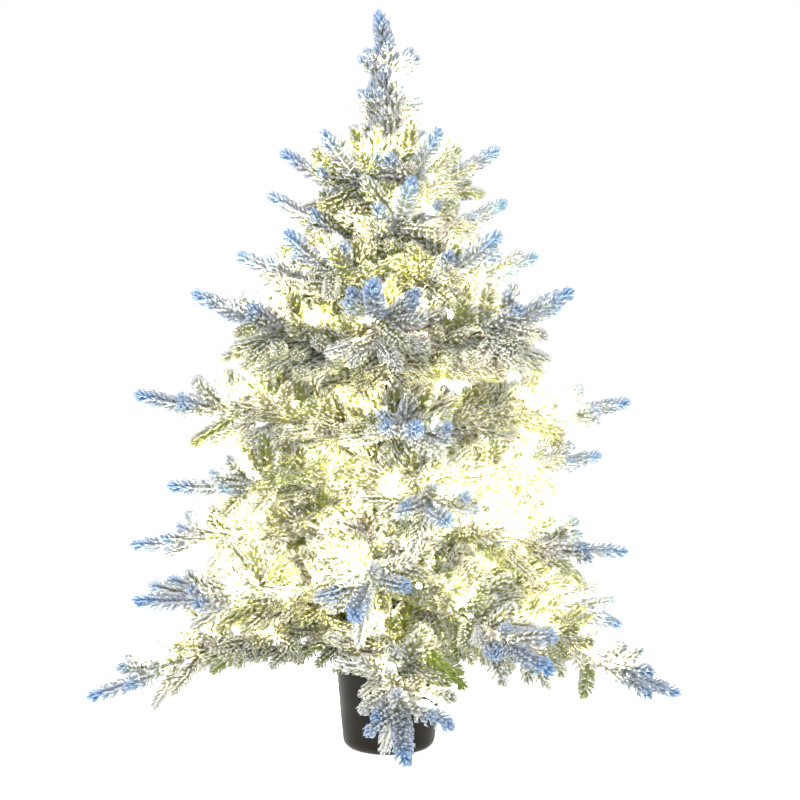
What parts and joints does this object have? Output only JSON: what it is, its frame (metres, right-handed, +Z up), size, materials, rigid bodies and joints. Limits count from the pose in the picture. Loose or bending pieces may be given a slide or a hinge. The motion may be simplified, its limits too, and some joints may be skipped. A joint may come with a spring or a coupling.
{
  "type": "tabletop artificial tree",
  "caption": "Frosted artificial tree with a lift-out pole in a weighted pot, five tiers of hinged folding branches, fixed upper whorls and a light string lead.",
  "frame": {"origin": "middle of the pot's underside, on the surface it stands on", "axes": "+Z up along the pole, -Y towards the front of the tree, +X to the viewer's right"},
  "size_m": [0.7264, 0.6549, 0.914],
  "materials": {
    "pot_plastic": "dark brown, low gloss",
    "cement": "rough cast cement",
    "socket_steel": "bare steel",
    "pole_paint": "dark green paint",
    "hub_plastic": "dark green moulding",
    "branch_wire": "steel wire wrapped in green tape",
    "foliage": "soft needles, frosted white over green with blue tips",
    "crown_foliage": "soft needles, frosted white with blue tips",
    "cable": "pale flexible cable"
  },
  "bodies": {
    "pot": {"pot": "pot_plastic", "ballast": "cement", "pole_socket": "socket_steel"},
    "trunk": {"pole": "pole_paint", "hub_1": "hub_plastic", "hub_cap_1": "hub_plastic", "hub_2": "hub_plastic", "hub_cap_2": "hub_plastic", "hub_3": "hub_plastic", "hub_cap_3": "hub_plastic", "hub_4": "hub_plastic", "hub_cap_4": "hub_plastic", "hub_5": "hub_plastic", "hub_cap_5": "hub_plastic", "whorl_6": "crown_foliage", "whorl_7": "crown_foliage", "whorl_8": "crown_foliage", "crown": "crown_foliage", "light_lead": "cable", "inlet_plug": "cable"},
    "branch_1_1": {"stem_1_1": "branch_wire", "foliage_1_1": "foliage"},
    "branch_1_2": {"stem_1_2": "branch_wire", "foliage_1_2": "foliage"},
    "branch_1_3": {"stem_1_3": "branch_wire", "foliage_1_3": "foliage"},
    "branch_1_4": {"stem_1_4": "branch_wire", "foliage_1_4": "foliage"},
    "branch_2_1": {"stem_2_1": "branch_wire", "foliage_2_1": "foliage"},
    "branch_2_2": {"stem_2_2": "branch_wire", "foliage_2_2": "foliage"},
    "branch_2_3": {"stem_2_3": "branch_wire", "foliage_2_3": "foliage"},
    "branch_2_4": {"stem_2_4": "branch_wire", "foliage_2_4": "foliage"},
    "branch_3_1": {"stem_3_1": "branch_wire", "foliage_3_1": "foliage"},
    "branch_3_2": {"stem_3_2": "branch_wire", "foliage_3_2": "foliage"},
    "branch_3_3": {"stem_3_3": "branch_wire", "foliage_3_3": "foliage"},
    "branch_3_4": {"stem_3_4": "branch_wire", "foliage_3_4": "foliage"},
    "branch_4_1": {"stem_4_1": "branch_wire", "foliage_4_1": "foliage"},
    "branch_4_2": {"stem_4_2": "branch_wire", "foliage_4_2": "foliage"},
    "branch_4_3": {"stem_4_3": "branch_wire", "foliage_4_3": "foliage"},
    "branch_4_4": {"stem_4_4": "branch_wire", "foliage_4_4": "foliage"},
    "branch_5_1": {"stem_5_1": "branch_wire", "foliage_5_1": "foliage"},
    "branch_5_2": {"stem_5_2": "branch_wire", "foliage_5_2": "foliage"},
    "branch_5_3": {"stem_5_3": "branch_wire", "foliage_5_3": "foliage"},
    "branch_5_4": {"stem_5_4": "branch_wire", "foliage_5_4": "foliage"}
  },
  "joints": [
    {"name": "trunk_lift", "type": "slide", "parent": "pot", "child": "trunk", "axis": [0, 0, 1], "range_m": [0, 0.118]},
    {"name": "branch_1_1_fold", "type": "hinge", "parent": "trunk", "child": "branch_1_1", "pos_m": [0.01696, 0.00119, 0.14], "axis": [0.0698, -0.9976, 0], "range_deg": [0, 67], "deforming": ["foliage_1_1"]},
    {"name": "branch_1_2_fold", "type": "hinge", "parent": "trunk", "child": "branch_1_2", "pos_m": [-0.00119, 0.01696, 0.14], "axis": [0.9976, 0.0698, 0], "range_deg": [0, 67], "deforming": ["foliage_1_2"]},
    {"name": "branch_1_3_fold", "type": "hinge", "parent": "trunk", "child": "branch_1_3", "pos_m": [-0.01696, -0.00119, 0.14], "axis": [-0.0698, 0.9976, 0], "range_deg": [0, 67], "deforming": ["foliage_1_3"]},
    {"name": "branch_1_4_fold", "type": "hinge", "parent": "trunk", "child": "branch_1_4", "pos_m": [0.00119, -0.01696, 0.14], "axis": [-0.9976, -0.0698, 0], "range_deg": [0, 67], "deforming": ["foliage_1_4"]},
    {"name": "branch_2_1_fold", "type": "hinge", "parent": "trunk", "child": "branch_2_1", "pos_m": [0.01472, 0.0085, 0.185], "axis": [0.5, -0.866, 0], "range_deg": [0, 67], "deforming": ["foliage_2_1"]},
    {"name": "branch_2_2_fold", "type": "hinge", "parent": "trunk", "child": "branch_2_2", "pos_m": [-0.0085, 0.01472, 0.185], "axis": [0.866, 0.5, 0], "range_deg": [0, 67], "deforming": ["foliage_2_2"]},
    {"name": "branch_2_3_fold", "type": "hinge", "parent": "trunk", "child": "branch_2_3", "pos_m": [-0.01472, -0.0085, 0.185], "axis": [-0.5, 0.866, 0], "range_deg": [0, 67], "deforming": ["foliage_2_3"]},
    {"name": "branch_2_4_fold", "type": "hinge", "parent": "trunk", "child": "branch_2_4", "pos_m": [0.0085, -0.01472, 0.185], "axis": [-0.866, -0.5, 0], "range_deg": [0, 67], "deforming": ["foliage_2_4"]},
    {"name": "branch_3_1_fold", "type": "hinge", "parent": "trunk", "child": "branch_3_1", "pos_m": [0.01691, -0.00178, 0.245], "axis": [-0.1045, -0.9945, 0], "range_deg": [0, 63], "deforming": ["foliage_3_1"]},
    {"name": "branch_3_2_fold", "type": "hinge", "parent": "trunk", "child": "branch_3_2", "pos_m": [0.00178, 0.01691, 0.245], "axis": [0.9945, -0.1045, 0], "range_deg": [0, 63], "deforming": ["foliage_3_2"]},
    {"name": "branch_3_3_fold", "type": "hinge", "parent": "trunk", "child": "branch_3_3", "pos_m": [-0.01691, 0.00178, 0.245], "axis": [0.1045, 0.9945, 0], "range_deg": [0, 63], "deforming": ["foliage_3_3"]},
    {"name": "branch_3_4_fold", "type": "hinge", "parent": "trunk", "child": "branch_3_4", "pos_m": [-0.00178, -0.01691, 0.245], "axis": [-0.9945, 0.1045, 0], "range_deg": [0, 63], "deforming": ["foliage_3_4"]},
    {"name": "branch_4_1_fold", "type": "hinge", "parent": "trunk", "child": "branch_4_1", "pos_m": [0.01642, 0.0044, 0.31], "axis": [0.2588, -0.9659, 0], "range_deg": [0, 54], "deforming": ["foliage_4_1"]},
    {"name": "branch_4_2_fold", "type": "hinge", "parent": "trunk", "child": "branch_4_2", "pos_m": [-0.0044, 0.01642, 0.31], "axis": [0.9659, 0.2588, 0], "range_deg": [0, 54], "deforming": ["foliage_4_2"]},
    {"name": "branch_4_3_fold", "type": "hinge", "parent": "trunk", "child": "branch_4_3", "pos_m": [-0.01642, -0.0044, 0.31], "axis": [-0.2588, 0.9659, 0], "range_deg": [0, 54], "deforming": ["foliage_4_3"]},
    {"name": "branch_4_4_fold", "type": "hinge", "parent": "trunk", "child": "branch_4_4", "pos_m": [0.0044, -0.01642, 0.31], "axis": [-0.9659, -0.2588, 0], "range_deg": [0, 54], "deforming": ["foliage_4_4"]},
    {"name": "branch_5_1_fold", "type": "hinge", "parent": "trunk", "child": "branch_5_1", "pos_m": [0.01683, 0.00237, 0.375], "axis": [0.1392, -0.9903, 0], "range_deg": [0, 34], "deforming": ["foliage_5_1"]},
    {"name": "branch_5_2_fold", "type": "hinge", "parent": "trunk", "child": "branch_5_2", "pos_m": [-0.00237, 0.01683, 0.375], "axis": [0.9903, 0.1392, 0], "range_deg": [0, 34], "deforming": ["foliage_5_2"]},
    {"name": "branch_5_3_fold", "type": "hinge", "parent": "trunk", "child": "branch_5_3", "pos_m": [-0.01683, -0.00237, 0.375], "axis": [-0.1392, 0.9903, 0], "range_deg": [0, 34], "deforming": ["foliage_5_3"]},
    {"name": "branch_5_4_fold", "type": "hinge", "parent": "trunk", "child": "branch_5_4", "pos_m": [0.00237, -0.01683, 0.375], "axis": [-0.9903, -0.1392, 0], "range_deg": [0, 34], "deforming": ["foliage_5_4"]}
  ]
}
